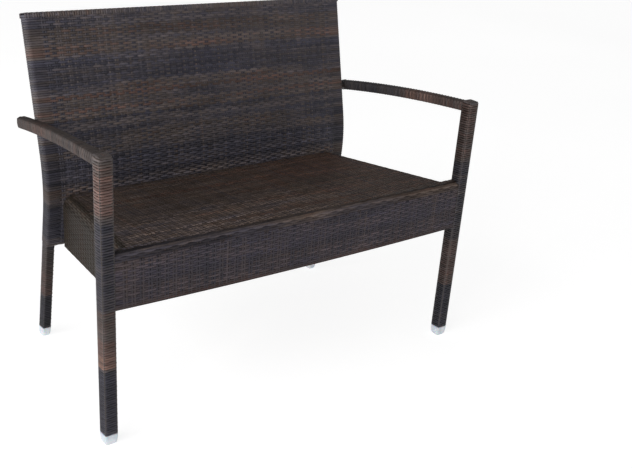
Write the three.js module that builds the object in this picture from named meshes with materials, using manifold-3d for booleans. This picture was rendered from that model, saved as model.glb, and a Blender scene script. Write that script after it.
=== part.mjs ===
// Two-seat garden bench: a welded frame of square aluminium tubes, covered with woven
// synthetic wicker and standing on four moulded feet.
//
// Millimetres, +Z up. X runs along the bench and -Y is the front. While it is built, Y is
// counted from the front faces of the front legs; the last lines move the origin to the
// ground under the middle of the bounding box.

import * as THREE from 'three';
import { mergeVertices } from 'three/addons/utils/BufferGeometryUtils.js';
import Module from 'manifold-3d';

const wasm = await Module();
wasm.setup();

// ---------------------------------------------------------------- driving dimensions

const GAP = 0.3;                 // clearance between touching pieces
const WALL = 1.5;                // wall of every tube
const WRAP = 2.4;                // thickness of one layer of wicker strand

// Front legs
const FRONT_HALF = 512;          // middle of the bench to the outer face of a front leg
const LEG = 34;                  // side of a wrapped front leg
const LEG_TUBE = LEG - 2 * (WRAP + GAP);
const LEG_TOP = 664;             // height of the corner of leg and arm
const LEG_CAP = 9;               // height of the woven cap on a front leg
const FOOT = 27;                 // height of the feet below the wicker

// Rear legs and back, in one bent tube on each side
const REAR_HALF = 442;           // middle of the bench to the outer face of the back
const UPRIGHT_X = 20;            // upright tube, across the bench
const UPRIGHT_Y = 25;            // upright tube, front to back
const RAKE = THREE.MathUtils.degToRad(11.3);   // the lower leg runs backwards to its foot
const LEAN = THREE.MathUtils.degToRad(13.2);   // the back leans backwards
const BEND_Y = 443.2;            // where the two straight runs of the tube would cross
const BEND_Z = 442;
const BEND_TANGENT = 81;         // from the crossing to either end of the bend
const BACK_FRONT_LAYER = 6.5;    // woven face in front of the uprights
const BACK_REAR_LAYER = 2.7;     // strands behind the uprights
const BACK_BOTTOM = 285;         // lower edge of the woven back
const BACK_TOP = 821;            // height of the tube axis at the upper end of the back
const BACK_BAND = 5;             // thickness of the band over the top of the back
const BACK_RAIL = 18;            // square rails and posts inside the back

// Arms: arcs that fall towards the rear, set in vertical planes that close in on the back
const ARM_WIDTH = 26.5;
const ARM_HEIGHT = 26.5;
const ARM_TOP = 661.5;           // height of the top line at the axis of the front leg
const ARM_RADIUS = 4050;         // radius of the top line
const ARM_START_ANGLE = THREE.MathUtils.degToRad(3.8);
const ARM_TOE_IN = THREE.MathUtils.degToRad(3.0);
const ARM_LENGTH = 485;          // from the axis of the front leg to the rounded end
const ARM_ROUND = 7;             // rounding of the arm's edges
const ARM_END_SKIN = 7;          // wicker over the rear end of an arm's tube
const SPACER_RADIUS = 7;         // round spacer between an arm and its upright
const SPACER_Y = 476;
const SPACER_Z = 588;

// Seat
const SEAT_FRONT_Z = 454;        // crest of the front edge
const SEAT_REAR_Z = 416;         // where the seat meets the back
const SEAT_REAR_Y = 433;
const SEAT_REAR_HALF = 406;      // half width of the seat at the back
const SEAT_FRONT_HALF = 464;     // half width of the seat just behind the front legs
const SEAT_SKIN = 6;             // thickness of the woven seat
const SEAT_FACE_Y = 2;           // face of the front apron
const SEAT_ROLL = 18;            // radius of the seat's front edge
const SIDE_ROLL = 28;            // radius of the seat's side edges
const APRON_SKIN = 5;            // thickness of the woven aprons
const APRON_RETURN = 20;         // width of the apron's turned-in lower edge
const APRON_FRONT_Z = 326;       // lower edge of the front apron
const SIDE_APRON_FRONT_Z = 333;  // lower edge of a side apron at the front leg
const SIDE_APRON_REAR_Z = 281;   // and at the back
const APRON_SAG = 6;             // bow of the front apron's lower edge
const SEAT_TUBE = 20;            // seat rails and bearers
const HEM_TUBE = 13;             // thin rails along the aprons' lower edges
const BEARER_PLACES = [-235, 0, 235];

// ---------------------------------------------------------------- materials

const wicker = (name, colour) => {
  const material = new THREE.MeshStandardMaterial({ color: colour, roughness: 0.55, metalness: 0 });
  material.name = name;
  return material;
};
const backWicker = () => wicker('back_wicker', 0x3b3436);
const seatWicker = () => wicker('seat_wicker', 0x382c29);
const apronWicker = () => wicker('apron_wicker', 0x3d3a42);
const wrapWicker = () => wicker('wrap_wicker', 0x3f3532);
const coatedTube = () => new THREE.MeshStandardMaterial({
  color: 0x2a2320, roughness: 0.45, metalness: 0.3,
});
const footPlastic = () => new THREE.MeshStandardMaterial({
  color: 0xd2d4d6, roughness: 0.4, metalness: 0,
});

// ---------------------------------------------------------------- shapes and solids

const bench = new THREE.Group();
const SIDES = [['left', -1], ['right', 1]];
const FAR = 2000;                // beyond every part of the bench, for cutting boxes

// Adds one named piece to the bench.
function addPiece(name, geometry, material, place = {}) {
  const mesh = new THREE.Mesh(geometry, material);
  mesh.name = name;
  mesh.position.set(place.x ?? 0, place.y ?? 0, place.z ?? 0);
  mesh.rotation.set(place.tiltX ?? 0, 0, place.turnZ ?? 0);
  bench.add(mesh);
  return mesh;
}

// Rectangle with rounded corners, centred on cx, cy.
function roundedRect(width, height, radius, cx = 0, cy = 0) {
  const shape = new THREE.Shape();
  const x = width / 2 - radius;
  const y = height / 2 - radius;
  shape.absarc(cx + x, cy - y, radius, -Math.PI / 2, 0, false);
  shape.absarc(cx + x, cy + y, radius, 0, Math.PI / 2, false);
  shape.absarc(cx - x, cy + y, radius, Math.PI / 2, Math.PI, false);
  shape.absarc(cx - x, cy - y, radius, Math.PI, 1.5 * Math.PI, false);
  shape.closePath();
  return shape;
}

// Sharp rectangle, as an outline or as a hole.
function rectangle(PathClass, width, height, cx = 0, cy = 0) {
  const path = new PathClass();
  path.moveTo(cx - width / 2, cy - height / 2);
  path.lineTo(cx + width / 2, cy - height / 2);
  path.lineTo(cx + width / 2, cy + height / 2);
  path.lineTo(cx - width / 2, cy + height / 2);
  path.closePath();
  return path;
}

// Section of a rectangular tube.
function tubeSection(width, height, cx = 0, cy = 0) {
  const shape = rectangle(THREE.Shape, width, height, cx, cy);
  shape.holes.push(rectangle(THREE.Path, width - 2 * WALL, height - 2 * WALL, cx, cy));
  return shape;
}

// Section of a wicker sleeve with rounded corners round a rectangular tube.
function sleeveSection(width, height, radius, tubeWidth, tubeHeight) {
  const shape = roundedRect(width, height, radius);
  shape.holes.push(rectangle(THREE.Path, tubeWidth + 2 * GAP, tubeHeight + 2 * GAP));
  return shape;
}

function extrude(shape, depth, options = {}) {
  return new THREE.ExtrudeGeometry(shape, { depth, bevelEnabled: false, curveSegments: 2, ...options });
}

// Turns an extrusion so that its section's axes become Y and Z and its length runs along X.
function alongX(geometry, length) {
  const turn = new THREE.Matrix4().makeBasis(
    new THREE.Vector3(0, 1, 0), new THREE.Vector3(0, 0, 1), new THREE.Vector3(1, 0, 0));
  return geometry.translate(0, 0, -length / 2).applyMatrix4(turn);
}

// Moves every vertex of a geometry by a rule.
function mapVertices(geometry, rule) {
  const position = geometry.attributes.position;
  const point = new THREE.Vector3();
  for (let i = 0; i < position.count; i += 1) {
    rule(point.fromBufferAttribute(position, i));
    position.setXYZ(i, point.x, point.y, point.z);
  }
  return geometry;
}

// Geometry to solid and back, for cuts and joins.
function toSolid(geometry) {
  const bare = geometry.index ? geometry.toNonIndexed() : geometry.clone();
  bare.deleteAttribute('normal');
  bare.deleteAttribute('uv');
  const merged = mergeVertices(bare, 1e-4);
  return new wasm.Manifold(new wasm.Mesh({
    numProp: 3,
    vertProperties: new Float32Array(merged.attributes.position.array),
    triVerts: new Uint32Array(merged.index.array),
  }));
}

function toGeometry(solid) {
  const mesh = solid.getMesh();
  const geometry = new THREE.BufferGeometry();
  geometry.setAttribute('position', new THREE.BufferAttribute(new Float32Array(mesh.vertProperties), 3));
  geometry.setIndex(new THREE.BufferAttribute(new Uint32Array(mesh.triVerts), 1));
  geometry.computeVertexNormals();
  return geometry;
}

// Box between two corners.
function boxBetween(low, high) {
  const size = high.map((value, i) => value - low[i]);
  const middle = high.map((value, i) => (value + low[i]) / 2);
  return new THREE.BoxGeometry(...size).translate(...middle);
}

// Plate with a flat underside at z = 0 and a rounded upper edge.
function domedPlate(shape, height, radius) {
  const pillow = extrude(shape, 2 * (height - radius), {
    bevelEnabled: true, bevelSize: radius, bevelThickness: radius, bevelOffset: -radius, bevelSegments: 3,
  });
  pillow.translate(0, 0, radius - height);
  const above = boxBetween([-FAR, -FAR, 0], [FAR, FAR, 2 * height]);
  return toGeometry(toSolid(pillow).intersect(toSolid(above)));
}

// ---------------------------------------------------------------- the bent line of the back

const lowerPoint = (x, z) => new THREE.Vector3(x, BEND_Y + (BEND_Z - z) * Math.tan(RAKE), z);
const upperPoint = (x, z) => new THREE.Vector3(x, BEND_Y + (z - BEND_Z) * Math.tan(LEAN), z);
const BEND_START = BEND_Z - BEND_TANGENT * Math.cos(RAKE);
const BEND_END = BEND_Z + BEND_TANGENT * Math.cos(LEAN);

// Axis of an upright from one height to another, at one distance from the middle.
function uprightAxis(x, fromZ, toZ) {
  const path = new THREE.CurvePath();
  path.add(new THREE.LineCurve3(lowerPoint(x, fromZ), lowerPoint(x, BEND_START)));
  path.add(new THREE.QuadraticBezierCurve3(
    lowerPoint(x, BEND_START), lowerPoint(x, BEND_Z), upperPoint(x, BEND_END)));
  path.add(new THREE.LineCurve3(upperPoint(x, BEND_END), upperPoint(x, toZ)));
  return path;
}

// Sweeps a section along an upright's axis. In the section, +x is the bench's -X and +y its front.
function sweepUpright(shape, path, steps) {
  return extrude(shape, 1, { extrudePath: path, steps });
}

// Everything behind the back's front face, with the gap that its neighbours keep to it.
function backEnvelope() {
  const WIDTH = 1200;
  const REAR = 60;
  const FROM_Z = 200;
  const STEPS = 40;
  const front = UPRIGHT_Y / 2 + GAP + BACK_FRONT_LAYER + GAP;
  const shape = rectangle(THREE.Shape, WIDTH, front + REAR, 0, (front - REAR) / 2);
  return toSolid(sweepUpright(shape, uprightAxis(0, FROM_Z, BACK_TOP), STEPS));
}

// ---------------------------------------------------------------- front legs

function frontLegs() {
  const ROUND = 7;                                       // rounding of the leg's edges
  const CAP_ROUND = 4;                                   // rounding of the cap's upper edge
  const x = FRONT_HALF - LEG / 2;
  const y = LEG / 2;
  const wrapBottom = FOOT + GAP;
  const wrapTop = LEG_TOP - LEG_CAP - GAP;
  const height = wrapTop - wrapBottom;
  const tubeShape = tubeSection(LEG_TUBE, LEG_TUBE);
  const sleeve = sleeveSection(LEG, LEG, ROUND, LEG_TUBE, LEG_TUBE);
  const capShape = roundedRect(LEG, LEG, ROUND);
  for (const [side, sign] of SIDES) {
    const place = { x: sign * x, y, z: wrapBottom };
    addPiece(`front_leg_tube_${side}`, extrude(tubeShape, height), coatedTube(), place);
    addPiece(`front_leg_wrap_${side}`, extrude(sleeve, height), wrapWicker(), place);
    addPiece(`front_leg_cap_${side}`, domedPlate(capShape, LEG_CAP, CAP_ROUND), wrapWicker(),
      { x: sign * x, y, z: LEG_TOP - LEG_CAP });
  }
}

// ---------------------------------------------------------------- feet

// Square foot with a chamfered lower edge and a peg that plugs into the tube.
function footGeometry(width, depth, pegWidth, pegDepth) {
  const STEPS = 5;                                       // the lowest step is the chamfer
  const NARROWING = 0.74;
  const ROUND = 5;
  const PEG_LENGTH = 20;
  const head = extrude(roundedRect(width, depth, ROUND), FOOT, { steps: STEPS });
  mapVertices(head, (point) => {
    if (point.z < 1e-6) {
      point.x *= NARROWING;
      point.y *= NARROWING;
    }
  });
  const peg = boxBetween([-pegWidth / 2, -pegDepth / 2, FOOT / 2],
    [pegWidth / 2, pegDepth / 2, FOOT + PEG_LENGTH]);
  return toGeometry(toSolid(head).add(toSolid(peg)));
}

function feet() {
  const HEAD_INSET = 1;
  const legPeg = LEG_TUBE - 2 * WALL - 2 * GAP;
  const frontFoot = footGeometry(LEG - HEAD_INSET, LEG - HEAD_INSET, legPeg, legPeg);
  const wrapX = UPRIGHT_X + 2 * (WRAP + GAP);
  const wrapY = UPRIGHT_Y + 2 * (WRAP + GAP);
  const rearFoot = footGeometry(wrapX - HEAD_INSET, wrapY - HEAD_INSET,
    UPRIGHT_X - 2 * WALL - 2 * GAP, UPRIGHT_Y - 2 * WALL - 2 * GAP);
  mapVertices(rearFoot, (point) => { point.y -= point.z * Math.tan(RAKE); });
  for (const [side, sign] of SIDES) {
    addPiece(`foot_front_${side}`, frontFoot.clone(), footPlastic(),
      { x: sign * (FRONT_HALF - LEG / 2), y: LEG / 2 });
    addPiece(`foot_rear_${side}`, rearFoot.clone(), footPlastic(),
      { x: sign * (REAR_HALF - wrapX / 2), y: lowerPoint(0, 0).y });
  }
}

// ---------------------------------------------------------------- rear legs

const UPRIGHT_AXIS_X = REAR_HALF - WRAP - GAP - UPRIGHT_X / 2;

function rearLegs() {
  const ROUND = 6;
  const TUBE_STEPS = 34;
  const tilt = (UPRIGHT_Y / 2) * Math.sin(RAKE);
  const tubeBottom = FOOT + GAP + tilt;
  const wrapBottom = FOOT + GAP;
  const wrapHeight = BACK_BOTTOM - GAP - wrapBottom;
  const slopeY = UPRIGHT_Y / Math.cos(RAKE);
  const section = sleeveSection(
    UPRIGHT_X + 2 * (WRAP + GAP), slopeY + 2 * (WRAP + GAP), ROUND, UPRIGHT_X, slopeY);
  for (const [side, sign] of SIDES) {
    const axis = uprightAxis(sign * UPRIGHT_AXIS_X, tubeBottom, BACK_TOP - GAP);
    const tube = sweepUpright(tubeSection(UPRIGHT_X, UPRIGHT_Y), axis, TUBE_STEPS);
    addPiece(`rear_upright_tube_${side}`, tube, coatedTube());
    const wrap = extrude(section, wrapHeight);
    mapVertices(wrap, (point) => { point.y -= point.z * Math.tan(RAKE); });
    addPiece(`rear_leg_wrap_${side}`, wrap, wrapWicker(),
      { x: sign * UPRIGHT_AXIS_X, y: lowerPoint(0, wrapBottom).y, z: wrapBottom });
  }
}

// ---------------------------------------------------------------- the woven back

const BACK_FRONT = UPRIGHT_Y / 2 + GAP + BACK_FRONT_LAYER;   // front face, from the tube axis
const BACK_REAR = UPRIGHT_Y / 2 + GAP + BACK_REAR_LAYER;     // rear face, from the tube axis
const BACK_INNER = UPRIGHT_AXIS_X - UPRIGHT_X / 2 - GAP - WRAP;
const BACK_ROUND = 6;            // rounding of the back's upright edges

// Plan section of the woven back: a front layer that turns round both uprights.
function backSection() {
  const RADIUS = BACK_ROUND;
  const plateRear = BACK_FRONT - BACK_FRONT_LAYER;
  const shape = new THREE.Shape();
  shape.absarc(REAR_HALF - RADIUS, BACK_FRONT - RADIUS, RADIUS, 0, Math.PI / 2, false);
  shape.absarc(-REAR_HALF + RADIUS, BACK_FRONT - RADIUS, RADIUS, Math.PI / 2, Math.PI, false);
  shape.absarc(-REAR_HALF + RADIUS, -BACK_REAR + RADIUS, RADIUS, Math.PI, 1.5 * Math.PI, false);
  shape.lineTo(-BACK_INNER, -BACK_REAR);
  shape.lineTo(-BACK_INNER, plateRear);
  shape.lineTo(BACK_INNER, plateRear);
  shape.lineTo(BACK_INNER, -BACK_REAR);
  shape.absarc(REAR_HALF - RADIUS, -BACK_REAR + RADIUS, RADIUS, -Math.PI / 2, 0, false);
  shape.closePath();
  for (const [, sign] of SIDES) {
    const x = sign * UPRIGHT_AXIS_X;
    shape.holes.push(rectangle(THREE.Path, UPRIGHT_X + 2 * GAP, UPRIGHT_Y + 2 * GAP, x));
  }
  return shape;
}

function wovenBack() {
  const OVERRUN = 12;                                    // cut off level with the lower edge
  const STEPS = 26;
  const BAND_ROUND = 4;
  const axis = uprightAxis(0, BACK_BOTTOM - OVERRUN, BACK_TOP);
  const sweep = sweepUpright(backSection(), axis, STEPS);
  const below = boxBetween([-FAR, -FAR, 0], [FAR, FAR, BACK_BOTTOM]);
  addPiece('back_weave', toGeometry(toSolid(sweep).subtract(toSolid(below))), backWicker());

  const depth = BACK_FRONT + BACK_REAR;
  const outline = roundedRect(2 * REAR_HALF, depth, BACK_ROUND, 0, (BACK_REAR - BACK_FRONT) / 2);
  const band = domedPlate(outline, BACK_BAND, BAND_ROUND);
  const top = upperPoint(0, BACK_TOP);
  addPiece('back_top_band', band, backWicker(), {
    y: top.y + GAP * Math.sin(LEAN), z: top.z + GAP * Math.cos(LEAN), tiltX: -LEAN,
  });
}

// Rails and posts behind the woven face, between the uprights.
function backRails() {
  const SETBACK = 0.8;                                   // from the woven face to the rails
  const BOTTOM_RAIL_LIFT = 5;                            // above the lower edge of the back
  const LINE_POINTS = 600;
  const BEND_POINTS = 24;
  const UPPER_STEPS = 18;
  const LOWER_STEPS = 6;
  const offset = UPRIGHT_Y / 2 + GAP - SETBACK - BACK_RAIL / 2;   // rail axis in front of tube axis
  const length = 2 * (BACK_INNER - GAP);
  const rail = () => alongX(extrude(tubeSection(BACK_RAIL, BACK_RAIL), length), length);
  const MID_RAIL_Z = 424;
  const MID_RAIL_TILT = THREE.MathUtils.degToRad(4);
  const topOffset = GAP + BACK_RAIL / 2;
  const topAxis = upperPoint(0, BACK_TOP - topOffset * Math.cos(LEAN));
  const bottomAxis = lowerPoint(0, BACK_BOTTOM + BACK_RAIL / 2 + BOTTOM_RAIL_LIFT);
  const fromMid = (point) => Math.abs(point.z - MID_RAIL_Z);
  const midAxis = uprightAxis(0, BACK_BOTTOM, BACK_TOP).getSpacedPoints(LINE_POINTS)
    .reduce((best, point) => (fromMid(point) < fromMid(best) ? point : best));

  const place = (axis, tilt) => ({
    y: axis.y - offset * Math.cos(tilt), z: axis.z - offset * Math.sin(-tilt), tiltX: tilt,
  });
  addPiece('back_top_rail', rail(), coatedTube(), place(topAxis, -LEAN));
  addPiece('back_mid_rail', rail(), coatedTube(), place(midAxis, MID_RAIL_TILT));
  addPiece('back_bottom_rail', rail(), coatedTube(), place(bottomAxis, RAKE));

  const REACH = BACK_RAIL / 2 + 1.5;                     // from a rail's axis to a post's end
  const LOWER_REACH = REACH + 1;                         // more below the tilted middle rail
  const post = tubeSection(BACK_RAIL, BACK_RAIL, 0, offset);
  const upper = new THREE.CurvePath();
  const bendPart = new THREE.QuadraticBezierCurve3(
    lowerPoint(0, BEND_START), lowerPoint(0, BEND_Z), upperPoint(0, BEND_END));
  const bend = bendPart.getPoints(BEND_POINTS);
  const addPoints = (path, points) => {
    for (let i = 1; i < points.length; i += 1) {
      path.add(new THREE.LineCurve3(points[i - 1], points[i]));
    }
  };
  addPoints(upper, bend.filter((point) => point.z > MID_RAIL_Z + REACH));
  const postTop = upperPoint(0, topAxis.z - REACH * Math.cos(LEAN));
  upper.add(new THREE.LineCurve3(upperPoint(0, BEND_END), postTop));
  addPiece('back_post_upper', sweepUpright(post, upper, UPPER_STEPS), coatedTube());

  const lower = new THREE.CurvePath();
  lower.add(new THREE.LineCurve3(lowerPoint(0, bottomAxis.z + REACH), lowerPoint(0, BEND_START)));
  addPoints(lower, bend.filter((point) => point.z < MID_RAIL_Z - LOWER_REACH));
  addPiece('back_post_lower', sweepUpright(post, lower, LOWER_STEPS), coatedTube());
}

// ---------------------------------------------------------------- arms

// Solid bar along the arm's arc: its length lies on +Y, its width is centred on X.
function armBar(width, height, startInset, endInset, round) {
  const topRadius = ARM_RADIUS - (ARM_HEIGHT - height) / 2;
  const startAngle = ARM_START_ANGLE + startInset / ARM_RADIUS;
  const endAngle = ARM_START_ANGLE + (ARM_LENGTH - endInset) / ARM_RADIUS;
  const centreY = -ARM_RADIUS * Math.sin(ARM_START_ANGLE);
  const centreZ = ARM_TOP - ARM_RADIUS * Math.cos(ARM_START_ANGLE);
  const shape = new THREE.Shape();
  const fromTop = (angle) => Math.PI / 2 - angle;
  shape.absarc(centreY, centreZ, topRadius, fromTop(startAngle), fromTop(endAngle), true);
  shape.absarc(centreY, centreZ, topRadius - height, fromTop(endAngle), fromTop(startAngle), false);
  shape.closePath();
  const bevel = round > 0 ? {
    bevelEnabled: true, bevelSize: round, bevelThickness: round, bevelOffset: -round, bevelSegments: 3,
  } : {};
  const bar = extrude(shape, width - 2 * round, { curveSegments: 7, ...bevel });
  return alongX(bar, width - 2 * round);
}

function arms() {
  const OVERSHOOT = 20;                                  // hollows run past the front end
  const CLEARING = 60;                                   // cutting box round the front leg
  const tubeWidth = ARM_WIDTH - 2 * (WRAP + GAP);
  const tubeHeight = ARM_HEIGHT - 2 * (WRAP + GAP);
  for (const [side, sign] of SIDES) {
    const place = new THREE.Matrix4().makeRotationZ(sign * ARM_TOE_IN);
    place.setPosition(sign * (FRONT_HALF - LEG / 2), LEG / 2, 0);
    const solid = (...size) => toSolid(armBar(...size).applyMatrix4(place));
    const middle = sign * (FRONT_HALF - LEG / 2);
    const leg = toSolid(boxBetween([middle - CLEARING, -CLEARING, LEG_TOP - CLEARING],
      [middle + CLEARING, LEG + GAP, LEG_TOP + CLEARING]));
    const inner = [tubeWidth - 2 * WALL, tubeHeight - 2 * WALL];
    const hollow = [tubeWidth + 2 * GAP, tubeHeight + 2 * GAP];

    const wrap = solid(ARM_WIDTH, ARM_HEIGHT, 0, 0, ARM_ROUND)
      .subtract(solid(...hollow, -OVERSHOOT, ARM_END_SKIN - GAP, 0))
      .subtract(leg);
    addPiece(`arm_wrap_${side}`, toGeometry(wrap), wrapWicker());

    const tube = solid(tubeWidth, tubeHeight, 0, ARM_END_SKIN, 0)
      .subtract(solid(...inner, -OVERSHOOT, ARM_END_SKIN - OVERSHOOT, 0))
      .subtract(leg);
    addPiece(`arm_tube_${side}`, toGeometry(tube), coatedTube());

    // The spacer stands on the outer face of the back and reaches the inner face of the arm.
    const fromLeg = SPACER_Y + SPACER_RADIUS - LEG / 2;
    const armInner = FRONT_HALF - LEG / 2 - fromLeg * Math.tan(ARM_TOE_IN)
      - ARM_WIDTH / 2 / Math.cos(ARM_TOE_IN);
    const length = armInner - REAR_HALF - 2 * GAP;
    const disc = new THREE.Shape().absarc(0, 0, SPACER_RADIUS, 0, 2 * Math.PI, false);
    const spacer = alongX(extrude(disc, length, { curveSegments: 20 }), length);
    addPiece(`arm_spacer_${side}`, spacer, coatedTube(),
      { x: sign * (REAR_HALF + GAP + length / 2), y: SPACER_Y, z: SPACER_Z });
  }
}

// ---------------------------------------------------------------- seat and aprons

const SIDE_START_Y = LEG + GAP;
const SEAT_CREST_Y = SEAT_FACE_Y + SEAT_ROLL;
const SEAT_SLOPE = (SEAT_FRONT_Z - SEAT_REAR_Z) / (SEAT_REAR_Y - SEAT_CREST_Y);
const SEAT_INNER_HALF = FRONT_HALF - LEG - GAP;
const seatTop = (y) => SEAT_FRONT_Z - SEAT_SLOPE * (y - SEAT_CREST_Y);
const seatHalf = (y) => THREE.MathUtils.mapLinear(
  y, SIDE_START_Y, SEAT_REAR_Y, SEAT_FRONT_HALF, SEAT_REAR_HALF);
const apronBottom = (y) => THREE.MathUtils.mapLinear(
  y, SIDE_START_Y, SEAT_REAR_Y, SIDE_APRON_FRONT_Z, SIDE_APRON_REAR_Z);
const PAST_BACK = 480;           // where pieces are run to before the back cuts them

// Woven seat: a sloping skin with a rolled front edge, cut to the shape between the side rolls.
function wovenSeat(envelope) {
  const slope = Math.atan(SEAT_SLOPE);
  const centreZ = SEAT_FRONT_Z - SEAT_ROLL;
  const outerEnd = Math.PI / 2 - slope;
  const shape = new THREE.Shape();
  shape.absarc(SEAT_CREST_Y, centreZ, SEAT_ROLL, Math.PI, outerEnd, true);
  shape.lineTo(PAST_BACK, seatTop(PAST_BACK));
  shape.lineTo(PAST_BACK, seatTop(PAST_BACK) - SEAT_SKIN);
  shape.absarc(SEAT_CREST_Y, centreZ, SEAT_ROLL - SEAT_SKIN, outerEnd, Math.PI, false);
  shape.closePath();
  const skin = alongX(extrude(shape, 2 * SEAT_INNER_HALF, { curveSegments: 4 }), 2 * SEAT_INNER_HALF);
  let solid = toSolid(skin).subtract(envelope);
  for (const [, sign] of SIDES) {
    const inset = SIDE_ROLL + GAP;
    const corner = new THREE.Shape();
    corner.moveTo(sign * (seatHalf(SIDE_START_Y) - inset), SIDE_START_Y);
    corner.lineTo(sign * FAR, SIDE_START_Y);
    corner.lineTo(sign * FAR, FAR);
    corner.lineTo(sign * (seatHalf(FAR) - inset), FAR);
    corner.closePath();
    solid = solid.subtract(toSolid(extrude(corner, FAR)));
  }
  addPiece('seat_weave', toGeometry(solid), seatWicker());
}

// Front apron: an upright skin with its lower edge turned in, bowing down a little in the middle.
function frontApron() {
  const top = SEAT_FRONT_Z - SEAT_ROLL - GAP;
  const shape = new THREE.Shape();
  shape.moveTo(SEAT_FACE_Y, top);
  shape.lineTo(SEAT_FACE_Y, APRON_FRONT_Z);
  shape.lineTo(SEAT_FACE_Y + APRON_RETURN, APRON_FRONT_Z);
  shape.lineTo(SEAT_FACE_Y + APRON_RETURN, APRON_FRONT_Z + APRON_SKIN);
  shape.lineTo(SEAT_FACE_Y + APRON_SKIN, APRON_FRONT_Z + APRON_SKIN);
  shape.lineTo(SEAT_FACE_Y + APRON_SKIN, top);
  shape.closePath();
  const length = 2 * SEAT_INNER_HALF;
  const skin = alongX(extrude(shape, length, { steps: 12 }), length);
  mapVertices(skin, (point) => {
    if (point.z < APRON_FRONT_Z + 2 * APRON_SKIN) {
      point.z -= APRON_SAG * (1 - (point.x / SEAT_INNER_HALF) ** 2);
    }
  });
  addPiece('front_apron_weave', skin, apronWicker());
}

const REFERENCE_HEIGHT = 120;    // height of the side that its sections are drawn for

// Runs a section back along the side of the seat. In the section x is the distance outside the
// seat's side line, and y is the height above the apron's lower edge or, above the middle of
// REFERENCE_HEIGHT, the same distance below the seat's top as in a side of that height.
function alongSide(shape, sign, fromY, toY, envelope) {
  const geometry = extrude(shape, 1, { curveSegments: 3 });
  mapVertices(geometry, (point) => {
    const y = THREE.MathUtils.lerp(fromY, toY, point.z);
    const outward = point.x;
    const height = point.y;
    point.x = seatHalf(y) + outward;
    point.y = y;
    point.z = height < REFERENCE_HEIGHT / 2
      ? apronBottom(y) + height
      : seatTop(y) - (REFERENCE_HEIGHT - height);
  });
  // The map turns the section inside out, so the faces are turned back.
  geometry.scale(-1, 1, 1);
  if (sign > 0) {
    return toGeometry(toSolid(geometry).mirror([1, 0, 0]).subtract(envelope));
  }
  return toGeometry(toSolid(geometry).subtract(envelope));
}

function sideApron(sign, envelope) {
  const shape = new THREE.Shape();
  const top = REFERENCE_HEIGHT;
  shape.moveTo(-APRON_RETURN, 0);
  shape.lineTo(0, 0);
  shape.absarc(-SIDE_ROLL, top - SIDE_ROLL, SIDE_ROLL, 0, Math.PI / 2, false);
  shape.lineTo(-SIDE_ROLL, top - SEAT_SKIN);
  shape.absarc(-SIDE_ROLL, top - SIDE_ROLL, SIDE_ROLL - SEAT_SKIN, Math.PI / 2, 0, true);
  shape.lineTo(-SEAT_SKIN, APRON_SKIN);
  shape.lineTo(-APRON_RETURN, APRON_SKIN);
  shape.closePath();
  return alongSide(shape, sign, SIDE_START_Y, PAST_BACK, envelope);
}

function aprons(envelope) {
  frontApron();
  for (const [side, sign] of SIDES) {
    addPiece(`side_apron_weave_${side}`, sideApron(sign, envelope), apronWicker());
  }
}

// ---------------------------------------------------------------- seat frame

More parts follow.
